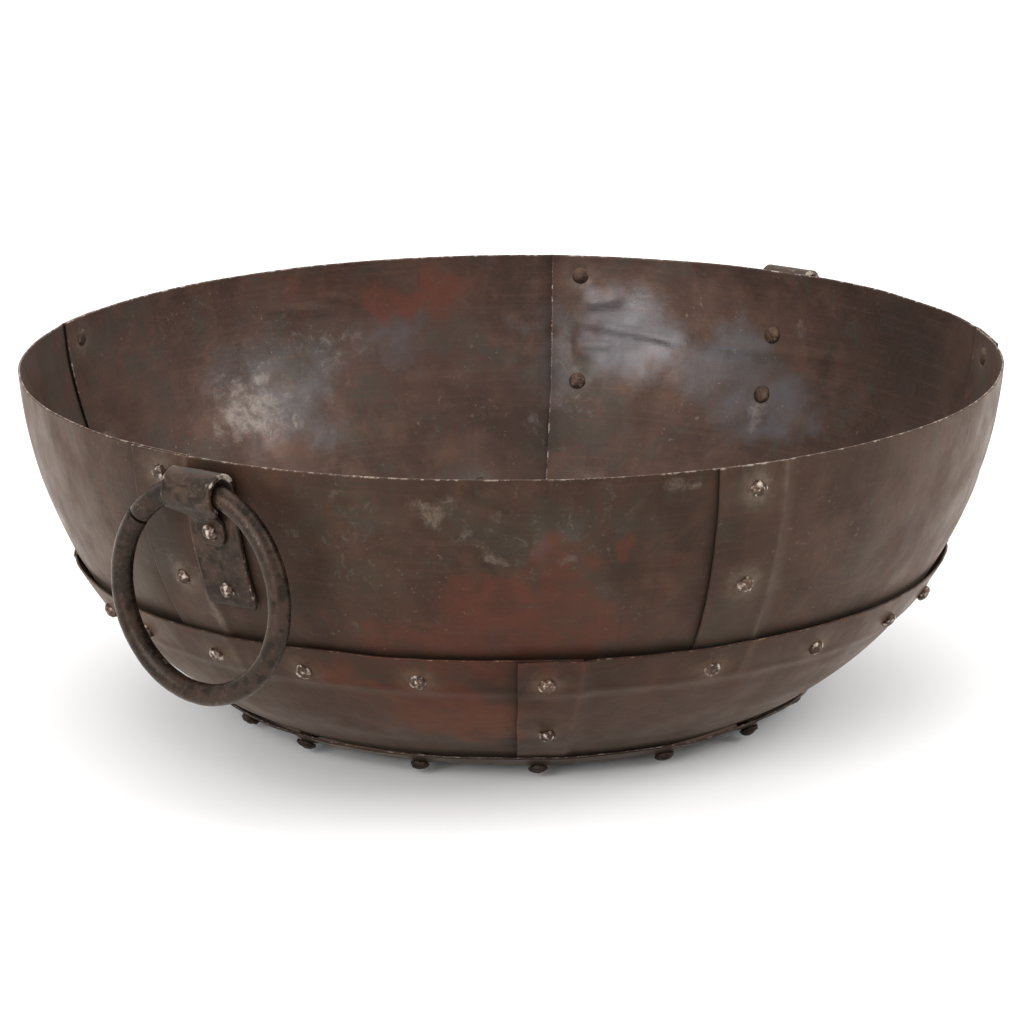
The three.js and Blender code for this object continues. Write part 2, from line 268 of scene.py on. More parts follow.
stains = [  # side, angle, down, half width, half height, strength
    ("out", "rust", -54, 96, 74, 36, 0.9),
    ("out", "rust", -50, 64, 30, 30, 0.8),
    ("out", "rust", -41, 40, 13, 9, 0.75),
    ("out", "rust", -36, 46, 12, 10, 0.6),
    ("out", "rust", -36, 80, 12, 24, 0.5),
    ("out", "rust", -68, 108, 46, 24, 0.75),
    ("out", "rust", -77, 92, 14, 9, 0.6),
    ("out", "rust", -16, 60, 14, 30, 0.25),
    ("out", "orange", -58, 178, 26, 30, 1.0),
    ("out", "orange", -68, 172, 40, 26, 0.65),
    ("out", "orange", -75, 140, 18, 12, 0.6),
    ("out", "rust", -64, 150, 60, 22, 0.8),
    ("out", "rust", -44, 196, 26, 18, 0.4),
    ("out", "bloom", -62, 16, 24, 13, 0.8),
    ("out", "bloom", -57, 40, 15, 13, 0.6),
    ("out", "bloom", -36, 7, 12, 9, 0.7),
    ("out", "bloom", -45, 36, 22, 16, 0.45),
    ("out", "green", -73, 34, 34, 34, 0.7),
    ("out", "green", -44, 30, 34, 18, 0.8),
    ("out", "green", -57, 24, 30, 14, 0.6),
    ("out", "green", -52, 46, 26, 22, 0.9),
    ("out", "green", -46, 62, 18, 14, 0.7),
    ("out", "slateAndSheen", -50, 42, 15, 13, 0.45),
    ("out", "slateAndSheen", -71, 30, 16, 16, 0.35),
    ("out", "soot", -80, 60, 30, 60, 0.5),
    ("in", "rust", 138, 26, 44, 24, 1.0),
    ("in", "rust", 150, 20, 40, 18, 0.5),
    ("in", "rust", 96, 84, 30, 22, 0.25),
    # This bloom is mostly a painted reflection, a taupe-grey sheen low on the inner wall.
    ("in", "bloom", 163, 92, 40, 30, 0.8),
    ("in", "bloom", 149, 70, 26, 26, 0.55),
    ("in", "green", 155, 60, 34, 30, 0.75),
    ("in", "green", 118, 100, 30, 40, 0.5),
    # The slate patches on the inner wall are a painted reflection, the blue-grey sheen of the softboxes.
    ("in", "slateAndSheen", 108, 52, 42, 34, 1.0),
    ("in", "slateAndSheen", 96, 72, 44, 34, 0.8),
    ("in", "slateAndSheen", 87, 98, 52, 30, 0.7),
    ("in", "slateAndSheen", 159, 84, 60, 44, 0.55),
    ("in", "slateAndSheen", 143, 58, 34, 28, 0.55),
    ("in", "slateAndSheen", 120, 74, 16, 52, 0.5),
    ("in", "bloom", 88, 102, 14, 14, 0.7),
    ("in", "soot", 126, 112, 60, 26, 0.7),
    ("in", "soot", 64, 34, 70, 70, 0.75),
    ("in", "soot", 131, 96, 50, 20, 0.6),
    ("in", "soot", 116, 64, 16, 8, 0.6),
    ("in", "bloom", 100, 21, 1.6, 13, 1.0),
    ("in", "bloom", 85, 36, 9, 9, 0.6),
    ("out", "bloom", -94, 104, 9, 22, 0.8),
    ("out", "bloom", -75, 96, 9, 15, 0.7),
    ("out", "green", -95, 150, 44, 26, 0.9),
    ("out", "green", -99, 60, 30, 40, 0.6),
]
stainKinds = ("rust", "orange", "bloom", "green", "slateAndSheen", "soot")
stainEdge = {"wander": ((16, 24), (9, 9)), "core": 0.2, "fade": 1.35}  # wander is height and size
strayStains = {"count": 46, "seed": 5, "clearOf": {"out": -54, "in": 125}, "clearReach": 62}


def allStains():
    rng = np.random.default_rng(strayStains["seed"])
    found = list(stains)
    for _ in range(strayStains["count"]):
        side = rng.choice(["in", "out"])
        kind = rng.choice(["rust", "bloom", "green", "soot", "orange", "slateAndSheen"])
        deg = rng.uniform(-180, 180)
        down = rng.uniform(5, 225)
        wide, tall = rng.uniform(14, 50), rng.uniform(10, 30)
        aside = abs((deg - strayStains["clearOf"][side] + 180) % 360 - 180)
        if aside >= strayStains["clearReach"]:
            found.append((side, kind, deg, down, wide, tall, rng.uniform(0.3, 0.8)))
    return found


stainList = allStains()


def stainMasks(deg, down, side):
    points = onWall(deg, down)
    (farA, sizeA), (farB, sizeB) = stainEdge["wander"]

    def wander(seed):
        return farA * clouds(points, sizeA, seed) + farB * clouds(points, sizeB, seed + 1)

    aside, along = wander(41), wander(43)
    masks = {kind: np.zeros(np.shape(deg)) for kind in stainKinds}
    for at, kind, atDeg, atDown, wide, tall, strength in stainList:
        if at != side:
            continue
        perDeg = math.radians(1) * np.interp(atDown, wallDowns, wallPoints[:, 0])
        across = ((deg - atDeg + 180) % 360 - 180) * perDeg + aside
        gap = np.sqrt((across / wide) ** 2 + ((down - atDown + along) / tall) ** 2)
        seen = strength * (1 - ease((gap - stainEdge["core"]) / stainEdge["fade"]))
        masks[kind] = np.maximum(masks[kind], seen)
    return masks


# Meshes.

def buildMesh(name, points, faces, facts=None, smooth=True):
    mesh = bpy.data.meshes.new(name)
    mesh.from_pydata((np.asarray(points) * mm).tolist(), [], faces)
    for key, values in (facts or {}).items():
        kind = mesh.attributes.new(key, "FLOAT", "POINT")
        kind.data.foreach_set("value", np.asarray(values, np.float32).ravel())
    mesh.polygons.foreach_set("use_smooth", [smooth] * len(mesh.polygons))
    mesh.update()
    piece = bpy.data.objects.new(name, mesh)
    bpy.context.scene.collection.objects.link(piece)
    return piece


def gridFaces(columns, rows, start=0, flip=False):
    a = start + np.arange(columns - 1)[:, None] * rows + np.arange(rows - 1)[None, :]
    quads = np.stack([a, a + 1, a + rows + 1, a + rows], -1).reshape(-1, 4)
    return quads[:, ::-1] if flip else quads


def ribbonFaces(first, second, closed=False):
    pairs = list(zip(first, second))
    if closed:
        pairs.append(pairs[0])
    return [(a, b, d, c) for (a, b), (c, d) in zip(pairs, pairs[1:])]


def tubeFaces(steps, sides):
    faces = []
    for i in range(steps - 1):
        for j in range(sides):
            k = (j + 1) % sides
            faces.append((i * sides + j, i * sides + k, (i + 1) * sides + k, (i + 1) * sides + j))
    return faces + [tuple(range(sides))[::-1], tuple(range((steps - 1) * sides, steps * sides))]


def spacedAlong(length, pitch, edge=(0.3, 1.0)):
    inner = np.linspace(edge[1], length - edge[1], max(int(length / pitch), 3))
    return np.concatenate([[0, edge[0]], inner, [length - edge[0], length]]) / length


def nearRivet(deg, down, reach):
    points = onWall(deg, down)
    near = np.zeros(points.shape[:-1])
    for at in pullPoints:
        near = np.maximum(near, np.exp(-((np.linalg.norm(points - at, axis=-1) / reach) ** 2)))
    return near


sheetLook = {
    "pitch": 2.3,
    "chamfer": 0.3,
    "ragged": 0.35,
    "dropReach": 9,  # from the end of its lap to where a sheet has dropped
    "dropShare": 0.72,  # of the step, and the rest is lost slowly
    "ridge": 0.42,  # height of a lap's edge that shows through
    "ridgeWide": 1.5,
    "pressedWide": 1.8,
    "endReach": 5,  # how far in the ends stand off
    "topReach": 6,
    # reach of the painted contact shade and grime along the laps
    "shadeAndGrimeReach": 4.5,
    # reach of the rubbed wear and painted highlight along the edges
    "wearAndHighlightReach": 1.0,
    "haloReach": 9.5,
}


# Over its neighbour at the start, then a sheet drops and eases in until it ends under the next.
def seamOut(past, length, perDeg):
    drop = ease((past - wall["overlap"]) * perDeg / sheetLook["dropReach"])
    free = ease((past - wall["overlap"]) / (length - 2 * wall["overlap"]))
    share = sheetLook["dropShare"]
    return step * (1 - share * drop - (1 - share) * free * drop)


def ringSheet(name, span, top, foot, base, coverAt):
    fromDeg, toDeg = span
    overlap, covered, dishTop = wall["overlap"], wall["upperFoot"], wall["dishTop"]
    radius = np.interp((top + foot) / 2, wallDowns, wallPoints[:, 0])
    perDeg = math.radians(1) * radius
    a = spacedAlong((toDeg - fromDeg) * perDeg, sheetLook["pitch"])
    b = spacedAlong(foot - top, sheetLook["pitch"])
    seed = int(fromDeg * 7) % 1000

    def edgeNoise(way, size, more):
        return clouds(np.stack([way, way * 0 + seed, way * 0 + more], -1), size, 71)

    ragged = sheetLook["ragged"]
    wayDown = top + b * (foot - top)
    wayDeg = fromDeg + a * (toDeg - fromDeg)
    startDeg = fromDeg + ragged * (edgeNoise(wayDown, 26, 1) + 0.5 * edgeNoise(wayDown, 7, 2)) / perDeg
    endDeg = toDeg + ragged * (edgeNoise(wayDown, 26, 3) + 0.5 * edgeNoise(wayDown, 7, 4)) / perDeg
    way = wayDeg * perDeg
    uneven = edgeNoise(way, 30, 5) + 0.5 * edgeNoise(way, 9, 6)
    topAt = top + (0 if top == 0 else 1) * ragged * 2.6 * uneven
    topAt = topAt + (0.35 * edgeNoise(way, 40, 8) + 0.35 if top == 0 else dipAt(wayDeg))
    footAt = foot + ragged * edgeNoise(way, 30, 7) + (dipAt(wayDeg) if top == 0 else 0)
    deg = startDeg[None, :] + a[:, None] * (endDeg - startDeg)[None, :]
    down = topAt[:, None] + b[None, :] * (footAt - topAt)[:, None]

    past = deg - fromDeg
    out = seamOut(past, toDeg - fromDeg, perDeg)
    ridges = np.exp(-(((past - overlap) * perDeg / sheetLook["ridgeWide"]) ** 2)) * (1 if top == 0 else 0.45)
    out += sheetLook["ridge"] * ridges
    # The outer edges stand off a little between their rivets.
    fromStart = past * perDeg
    fromEnd = (toDeg - deg) * perDeg
    level = down - dipAt(wayDeg)[:, None]
    clear = 1 - ease((level - coverAt + 14) / 8)
    lift = 0.55 + 0.5 * edgeNoise(wayDown, 30, 9)[None, :]
    out += clear * lift * np.exp(-fromStart / sheetLook["endReach"])
    if top == 0:
        sunk = 0.35 + 0.35 * edgeNoise(wayDown, 34, 10)[None, :]
        out -= clear * sunk * np.exp(-fromEnd / sheetLook["endReach"])
    if top > 0:
        rise = np.abs(0.5 + 0.9 * edgeNoise(way, 38, 12))[:, None] * (1 - 0.85 * nearRivet(deg, down, 22))
        out += rise * np.exp(-(down - topAt[:, None]) / sheetLook["topReach"])
        # Below the foot of the ring that it covers, the sheet steps in.
        out -= 0.9 * ease((level - covered - 2) / 8) * (1 - ease((down - dishTop + 20) / 14))
        out += 0.4 * np.exp(-(((level - covered - 0.5) / 1.8) ** 2))
        # The seams beneath show through.
        for start, _ in upperSpans:
            beneath = (deg - start - overlap + 180) % 360 - 180
            pressed = np.exp(-((beneath * perDeg / sheetLook["pressedWide"]) ** 2))
            pressed = pressed * (1 - ease((level - covered + 4) / 6))
            out += sheetLook["ridge"] * pressed
            ridges = np.maximum(ridges, pressed)
    out += metalLie(deg, down) + base

    chamfer = sheetLook["chamfer"]
    edgeRow = np.zeros(deg.shape)
    edgeRow[[0, -1], :] = chamfer
    edgeRow[:, [0, -1]] = chamfer
    outer = onWall(deg, down, out - edgeRow)
    inner = onWall(deg, down, out - sheet + edgeRow)
    columns, rows = deg.shape
    count = columns * rows
    faces = gridFaces(columns, rows).tolist() + gridFaces(columns, rows, count, True).tolist()
    border = [*range(rows), *((c + 1) * rows - 1 for c in range(1, columns)),
              *range(count - 2, count - rows - 1, -1), *(c * rows for c in range(columns - 2, 0, -1))]
    faces += ribbonFaces(border, [i + count for i in border], True)

    # Facts that the finish reads.
    fromTop = down - topAt[:, None]
    fromFoot = footAt[:, None] - down
    reach = sheetLook["wearAndHighlightReach"]
    rim = fromTop if top == 0 else np.full(deg.shape, 99.0)
    # Rubbed wear with a painted highlight along the rim, the lower ring's top edge, the upright seams and
    # the inner lap edges.
    edgeOut = np.exp(-fromTop / reach)
    wearAndHighlightOut = np.maximum(edgeOut * (0.85 if top == 0 else 0.7), 0.3 * np.exp(-fromStart / reach))
    wearAndHighlightIn = np.maximum(np.exp(-rim / reach), 0.9 * np.exp(-np.minimum(fromEnd, fromFoot) / reach))
    # Painted contact shade with some grime, beside the edges of the sheets lapped on this one and of the
    # ring that covers it.
    shadeAndGrime = sheetLook["shadeAndGrimeReach"]
    nextEdge = (toDeg - overlap - deg) * perDeg
    shadeAndGrimeOut = np.exp(-np.abs(nextEdge) / shadeAndGrime)
    if top == 0:
        shadeAndGrimeOut = np.maximum(shadeAndGrimeOut, np.exp(-np.abs(coverAt - level) / shadeAndGrime))
    shadeAndGrimeIn = 0.6 * np.exp(-np.abs(past - overlap) * perDeg / shadeAndGrime)
    if top > 0:
        shadeAndGrimeIn = np.maximum(shadeAndGrimeIn, np.exp(-np.abs(level - covered) / shadeAndGrime))
    halo = nearRivet(deg, down, sheetLook["haloReach"])
    masksOut, masksIn = stainMasks(deg, down, "out"), stainMasks(deg, down, "in")
    facts = {k: np.concatenate([masksOut[k].ravel(), masksIn[k].ravel()]) for k in stainKinds}
    facts["ridge"] = np.concatenate([ridges.ravel(), 0 * ridges.ravel()])
    facts["halo"] = np.concatenate([halo.ravel(), 0.35 * halo.ravel()])
    facts["inside"] = np.repeat([0, 1], count)
    facts["wear"] = np.concatenate([wearAndHighlightOut.ravel(), wearAndHighlightIn.ravel()])
    facts["shadeAndGrime"] = np.concatenate([shadeAndGrimeOut.ravel(), shadeAndGrimeIn.ravel()])
    facts["along"] = np.tile((way[:, None] * np.ones(rows)).ravel(), 2)
    facts["fall"] = np.tile(down.ravel(), 2)
    return buildMesh(name, np.concatenate([outer.reshape(-1, 3), inner.reshape(-1, 3)]), faces, facts)


dishLook = {
    "columns": 420,
    "edgePitch": 2.2,
    "flange": 60,  # how far in from the edge the fine rings go
    "centreRings": 32,
    "hub": 4,  # how near the centre the rings end
    "edgeLine": 190,  # radius of the line along which the edge's unevenness is read
    "pull": 1.9,
}


def baseDish():
    top, foot = wall["dishTop"], wall["lowerFoot"]
    columns, flange, hub = (dishLook[key] for key in ("columns", "flange", "hub"))
    deg1 = np.arange(columns) * 360 / columns - 180
    outward = np.arange(1.0, flange, dishLook["edgePitch"])
    inward = np.geomspace(flange, wallLength - top - hub, dishLook["centreRings"])
    ends = np.concatenate([[0, sheetLook["chamfer"]], outward, inward])
    way = np.radians(deg1)
    edgeLine = dishLook["edgeLine"] * np.stack([np.sin(way), np.cos(way), way * 0], -1)
    topAt = top + 0.5 * clouds(edgeLine, 30, 81) + 0.3 * clouds(edgeLine, 9, 82)
    deg = deg1[:, None] * np.ones(len(ends))
    down = topAt[:, None] + ends[None, :] * ((wallLength - hub - topAt) / ends[-1])[:, None]
    rise = np.abs(0.45 + 0.8 * clouds(edgeLine, 36, 83))[:, None] * (1 - 0.85 * nearRivet(deg, down, 20))
    fromTop = down - topAt[:, None]
    out = dishBase + metalLie(deg, down, dishLook["pull"]) + rise * np.exp(-fromTop / sheetLook["topReach"])
    out += 0.25 * np.exp(-(((down - foot) / 2.2) ** 2))
    out -= 0.8 * ease((down - foot - 1) / 7) * (1 - ease((down - foot - 10) / 10))
    chamfer = np.zeros(deg.shape)
    chamfer[:, 0] = sheetLook["chamfer"]
    outer = onWall(deg, down, out - chamfer).reshape(-1, 3)
    inner = onWall(deg, down, out - sheet + chamfer).reshape(-1, 3)
    rows = len(ends)
    count = columns * rows
    faces = []
    for start, flip in ((0, False), (count, True)):
        faces += gridFaces(columns, rows, start, flip).tolist()
        last = start + (columns - 1) * rows
        closing = ribbonFaces(range(last, last + rows), range(start, start + rows))
        faces += closing if not flip else [f[::-1] for f in closing]
        middle = 2 * count + (1 if flip else 0)
        for c in range(columns):
            tip = [start + c * rows + rows - 1, middle, start + ((c + 1) % columns) * rows + rows - 1]
            faces.append(tip[::-1] if flip else tip)
    edge = [c * rows for c in range(columns)]
    faces += ribbonFaces([i + count for i in edge], edge, True)
    hubs = onWall(0, wallLength, np.array([dishBase, dishBase - sheet]))
    masksOut, masksIn = stainMasks(deg, down, "out"), stainMasks(deg, down, "in")
    add = lambda first, second: np.concatenate([first.ravel(), second.ravel(), [0, 0]])
    facts = {k: add(masksOut[k], masksIn[k]) for k in stainKinds}
    # Rubbed wear with a painted highlight along the dish's inner edge.
    wearAndHighlightAt = np.exp(-fromTop / sheetLook["wearAndHighlightReach"])
    facts["inside"] = add(wearAndHighlightAt * 0, wearAndHighlightAt * 0 + 1)
    facts["wear"] = add(wearAndHighlightAt * 0.05, wearAndHighlightAt)
    facts["ridge"] = add(wearAndHighlightAt * 0, wearAndHighlightAt * 0)
    facts["halo"] = add(nearRivet(deg, down, sheetLook["haloReach"]), wearAndHighlightAt * 0)
    # Painted contact shade with some grime inside, along the foot of the lower ring.
    shadeAndGrimeIn = np.exp(-np.abs(down - foot) / sheetLook["shadeAndGrimeReach"])
    facts["shadeAndGrime"] = add(shadeAndGrimeIn * 0, shadeAndGrimeIn)
    facts["along"] = add(outer[:, 0], outer[:, 0])
    facts["fall"] = add(outer[:, 1], outer[:, 1])
    return buildMesh("baseDish", np.concatenate([outer, inner, hubs]), faces, facts)


# Material nodes.

def fill(tree, node, inputs):
    for key, value in inputs.items():
        if isinstance(value, bpy.types.NodeSocket):
            tree.links.new(value, node.inputs[key])
        else:
            node.inputs[key].default_value = value


def addNode(tree, kind, inputs=None, **settings):
    node = tree.nodes.new(kind)
    for key, value in settings.items():
        setattr(node, key, value)
    fill(tree, node, inputs or {})
    return node


def nodeOut(tree, kind, inputs=None, **settings):
    return addNode(tree, kind, inputs, **settings).outputs[0]


def mixed(tree, share, first, second, blend="MIX"):
    sides = [side if isinstance(side, bpy.types.NodeSocket) else (*side, 1) for side in (first, second)]
    inputs = {0: share, 6: sides[0], 7: sides[1]}
    return addNode(tree, "ShaderNodeMix", inputs, data_type="RGBA", blend_type=blend).outputs[2]


def maths(tree, operation, first, second=0.0, third=0.0, clamp=False):
    inputs = {0: first, 1: second, 2: third}
    return nodeOut(tree, "ShaderNodeMath", inputs, operation=operation, use_clamp=clamp)


def times(tree, first, second):
    return maths(tree, "MULTIPLY", first, second)


def plus(tree, first, second, clamp=False):
    return maths(tree, "ADD", first, second, clamp=clamp)


def noise(tree, vector, scale, detail=4.0, rough=0.55, distort=0.0):
    inputs = {"Vector": vector, "Scale": scale, "Detail": detail, "Roughness": rough, "Distortion": distort}
    return nodeOut(tree, "ShaderNodeTexNoise", inputs)


def window(tree, value, low, high, toLow=0.0, toHigh=1.0):
    inputs = {"Value": value, 1: low, 2: high, 3: toLow, 4: toHigh}
    return nodeOut(tree, "ShaderNodeMapRange", inputs, interpolation_type="SMOOTHSTEP")


def fact(tree, name):
    return addNode(tree, "ShaderNodeAttribute", attribute_name=name).outputs["Fac"]


def newFinish(name):
    material = bpy.data.materials.new(name)
    material.use_nodes = True
    tree = material.node_tree
    tree.nodes.clear()
    shader = addNode(tree, "ShaderNodeBsdfPrincipled")
    addNode(tree, "ShaderNodeOutputMaterial", {"Surface": shader.outputs[0]})
    return material, tree, shader


sheetTones = {
    "brown": (0.058, 0.0300, 0.0205),
    "deep": (0.031, 0.0170, 0.0118),
    "warm": (0.080, 0.0400, 0.0255),
    "rust": (0.092, 0.0270, 0.0165),
    "orange": (0.150, 0.0460, 0.0180),
    "green": (0.038, 0.0345, 0.0262),
    "slateAndSheen": (0.078, 0.0745, 0.0735),
    "bloom": (0.200, 0.1620, 0.1240),
    "soot": (0.016, 0.0095, 0.0070),
    "scale": (0.130, 0.1200, 0.1000),
    "bright": (0.420, 0.3500, 0.2850),
    # the outer faces are darkened as a tone, and more as painted shade on the lower ring and the dish
    "outside": (0.66, 0.62, 0.60),  # the outer faces are darker than the inner ones
    # the inner faces are lifted and blued as a painted sheen
    "inside": (1.10, 1.17, 1.32),
    "metallic": 0.35,
    "specular": 0.24,
    "specularTint": (1.0, 0.82, 0.68),
    "sheen": 0.06,
    "sheenTint": (1.0, 0.80, 0.64),
    "smoothest": 0.34,
    "roughest": 0.56,
}


def sheetFinish(name, shift=0.0, outside=sheetTones["outside"]):
    material, tree, shader = newFinish(name)
    tones = sheetTones
    place = addNode(tree, "ShaderNodeTexCoord").outputs["Object"]
    moved = (shift, shift * 0.7, 0)
    place = nodeOut(tree, "ShaderNodeMapping", {"Vector": place, "Location": moved})

    def spots(scale, detail, rough, distort=0.0):
        return noise(tree, place, scale, detail, rough, distort)

    def seen(value, low, high, least=0.0, most=1.0):
        return window(tree, value, low, high, least, most)

    def coat(share, tone):
        return mixed(tree, share, colour, tones[tone])

    def patchy(kind, texture, low, high, most=1.0, breakUp=0.8):
        broken = plus(tree, fact(tree, kind), maths(tree, "MULTIPLY_ADD", texture, breakUp, -breakUp / 2))
        return times(tree, seen(broken, low, high, 0, most), seen(fact(tree, kind), 0.0, 0.3))

    mid = spots(42, 6, 0.62, 0.4)
    fine = spots(260, 6, 0.65)
    clotted = spots(30, 10, 0.7, 0.4)
    dusty = spots(105, 10, 0.8, 0.5)
    colour = mixed(tree, seen(spots(11, 5, 0.6), 0.34, 0.66), tones["deep"], tones["brown"])
    colour = coat(seen(mid, 0.42, 0.74, 0, 0.7), "warm")
    stained = times(tree, fact(tree, "green"), seen(clotted, 0.40, 0.54))
    colour = coat(maths(tree, "MAXIMUM", seen(spots(23, 8, 0.7), 0.50, 0.62, 0, 0.5), stained), "green")
    rusty = patchy("rust", spots(26, 9, 0.72, 0.5), 0.28, 0.74, 0.8, 1.5)
    colour = coat(times(tree, rusty, seen(clotted, 0.40, 0.60, 1.0, 0.42)), "rust")
    colour = coat(patchy("orange", spots(30, 7, 0.6, 0.6), 0.15, 0.95, 0.75, 1.1), "orange")
    # Slate is mottling of the oxide outside, and a painted blue-grey reflection inside.
    colour = coat(patchy("slateAndSheen", spots(38, 7, 0.62, 0.5), 0.10, 1.10, 0.8, 1.15), "slateAndSheen")
    colour = coat(patchy("soot", mid, 0.10, 1.0, 0.75), "soot")
    colour = coat(patchy("bloom", dusty, 0.40, 1.20, 0.75, 2.2), "bloom")
    scale = times(tree, seen(dusty, 0.52, 0.66), seen(fact(tree, "green"), 0.1, 0.6, 0.12, 0.75))
    colour = coat(times(tree, scale, 0.6), "scale")

    # Streaks of the brush and the rolling mill run round the bowl, rain marks run down it.
    way = nodeOut(tree, "ShaderNodeCombineXYZ", {"X": fact(tree, "along"), "Y": fact(tree, "fall")})

    def drawn(stretch, detail, rough, lean=0.0):
        placed = {"Vector": way, "Rotation": (0, 0, lean), "Scale": stretch}
        return noise(tree, nodeOut(tree, "ShaderNodeMapping", placed), 1.0, detail, rough)

    streak = drawn((0.012, 0.35, 1), 5, 0.6)
    colour = coat(seen(streak, 0.50, 0.78, 0, 0.4), "warm")
    colour = coat(seen(drawn((0.16, 0.012, 1), 5, 0.65), 0.56, 0.80, 0, 0.35), "soot")
    # Chips and specks of pale scale, in drifts, and a few hairline scratches.
    drifts = seen(spots(17, 4, 0.6), 0.50, 0.66)
    chips = times(tree, seen(fine, 0.60, 0.72), maths(tree, "MULTIPLY_ADD", drifts, 0.42, 0.06))
    colour = coat(chips, "bloom")
    colour = coat(times(tree, seen(spots(360, 3, 0.5), 0.71, 0.75, 0, 0.3), drifts), "bright")
    hair = seen(drawn((0.035, 2.2, 1), 2, 0.5, 1.1), 0.735, 0.76, 0, 0.5)
    colour = coat(times(tree, hair, drifts), "bloom")
    # Dust round the rivets, and dust with a painted highlight along the pressed lines.
    ringed = times(tree, fact(tree, "halo"), seen(dusty, 0.28, 0.62))
    colour = coat(times(tree, ringed, 0.85), "bloom")
    colour = coat(times(tree, fact(tree, "ridge"), seen(mid, 0.30, 0.60, 0.06, 0.34)), "bloom")

    # Painted contact shade and grime along the laps, in the soot tone.
    paintedShadeAndGrime = times(tree, fact(tree, "shadeAndGrime"), seen(mid, 0.2, 0.7, 0.55, 1.0))
    colour = coat(times(tree, paintedShadeAndGrime, 0.8), "soot")
    # Rubbed edges with a painted edge highlight, in the pale tone.
    rubbed = times(tree, fact(tree, "wear"), seen(spots(210, 6, 0.75), 0.40, 0.64))
    colour = coat(seen(rubbed, 0.30, 0.85, 0, 0.75), "bright")
    # The inner faces are lifted and blued as a painted sheen, and the outer faces darkened; on the lower
    # ring and the dish that darkening is painted shade.
    paintedShadeAndSheen = mixed(tree, fact(tree, "inside"), outside, tones["inside"])

    rough = seen(spots(34, 6, 0.6), 0.25, 0.75, tones["smoothest"], tones["roughest"])
    rough = plus(tree, rough, times(tree, fact(tree, "soot"), 0.06))
    rough = maths(tree, "SUBTRACT", rough, times(tree, fact(tree, "slateAndSheen"), 0.13))
    rough = plus(tree, rough, times(tree, paintedShadeAndGrime, 0.25), clamp=True)

    height = times(tree, spots(70, 4, 0.5), 0.30)
    for texture, share in ((fine, 0.09), (spots(1100, 3, 0.6), 0.035), (streak, 0.05)):
        height = plus(tree, height, times(tree, texture, share))
    height = maths(tree, "SUBTRACT", height, times(tree, chips, 0.02))
    bump = {"Height": height, "Strength": 0.75, "Distance": 0.0016}
    fill(tree, shader, {
        "Base Color": mixed(tree, 1.0, colour, paintedShadeAndSheen, "MULTIPLY"),
        "Roughness": rough,
        "Normal": nodeOut(tree, "ShaderNodeBump", bump),
        "Metallic": tones["metallic"],
        "Specular IOR Level": tones["specular"],
        "Specular Tint": (*tones["specularTint"], 1),
        "Sheen Weight": tones["sheen"],
        "Sheen Roughness": 0.4,
        "Sheen Tint": (*tones["sheenTint"], 1),
    })
    return material


ironTones = {
    "dark": (0.017, 0.0108, 0.0085),
    "brown": (0.054, 0.0300, 0.0205),
    "grey": (0.082, 0.0590, 0.0470),
    "worn": (0.520, 0.4400, 0.3700),
    "specularTint": (1.0, 0.86, 0.74),
}


def ironFinish(name, worn=0.5, grain=1.0, dark=1.0, rough=0.5, metallic=0.5):
    material, tree, shader = newFinish(name)
    place = addNode(tree, "ShaderNodeTexCoord").outputs["Object"]
    big = noise(tree, place, 40 * grain, 5, 0.6)
    fine = noise(tree, place, 330 * grain, 6, 0.65)
    pits = noise(tree, place, 900 * grain, 3, 0.6)
    tones = dict(ironTones)
    for key in ("dark", "brown", "grey"):
        tones[key] = tuple(c * dark for c in tones[key])
    colour = mixed(tree, window(tree, big, 0.36, 0.66), tones["dark"], tones["brown"])
    colour = mixed(tree, window(tree, fine, 0.48, 0.70, 0, 0.6), colour, tones["grey"])
    rubbed = plus(tree, fact(tree, "wear"), maths(tree, "MULTIPLY_ADD", fine, 1.5, -0.72))
    colour = mixed(tree, window(tree, rubbed, 0.62, 1.05, 0, worn), colour, tones["worn"])
    # Painted shade with grime at the ends of the ring, across its slit.
    colour = mixed(tree, times(tree, fact(tree, "shadeAndGrime"), 0.85), colour, tones["dark"])
    # What is never rubbed is darkened: soot, and painted shade, most of it on the unrubbed dish rivets
    # beneath the bowl.
    paintedShadeAndSoot = window(tree, fact(tree, "wear"), 0.0, 0.1, 0.35, 1.0)
    height = plus(tree, times(tree, big, 0.5), times(tree, fine, 0.35))
    height = plus(tree, height, times(tree, pits, 0.12))
    bump = {"Height": height, "Strength": 0.8, "Distance": 0.0012}
    fill(tree, shader, {
        "Base Color": mixed(tree, 1.0, colour, paintedShadeAndSoot, "MULTIPLY"),
        "Roughness": window(tree, fine, 0.25, 0.75, rough - 0.12, rough + 0.14),
        "Normal": nodeOut(tree, "ShaderNodeBump", bump),
        "Metallic": metallic,
        "Specular IOR Level": 0.3,
        "Specular Tint": (*tones["specularTint"], 1),
    })
    return material


finishes = {
    "upper": sheetFinish("oxidisedUpperSheet"),
    # The lower ring and the dish are darker outside as painted shade, as they face down, away from the
    # light.
    "lower": sheetFinish("oxidisedLowerSheet", 0.31, outside=(0.56, 0.42, 0.355)),
    "dish": sheetFinish("oxidisedDish", 0.57, outside=(0.25, 0.20, 0.17)),
    "rivets": ironFinish("peenedRivetIron", worn=0.8, grain=1.6, dark=1.55, rough=0.44, metallic=0.5),
    "strap": ironFinish("foldedStrapIron", worn=0.6, dark=0.9, rough=0.42, metallic=0.4),
    "ring": ironFinish("forgedRingIron", worn=0.5, dark=0.50, rough=0.30, metallic=0.4),
}


def dress(piece, body, finish, slotName, *replaced):
    if not piece.data.materials:
        piece.data.materials.append(finishes[finish])
    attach(piece, body)
    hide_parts(*replaced)
    return piece


# Sheets.

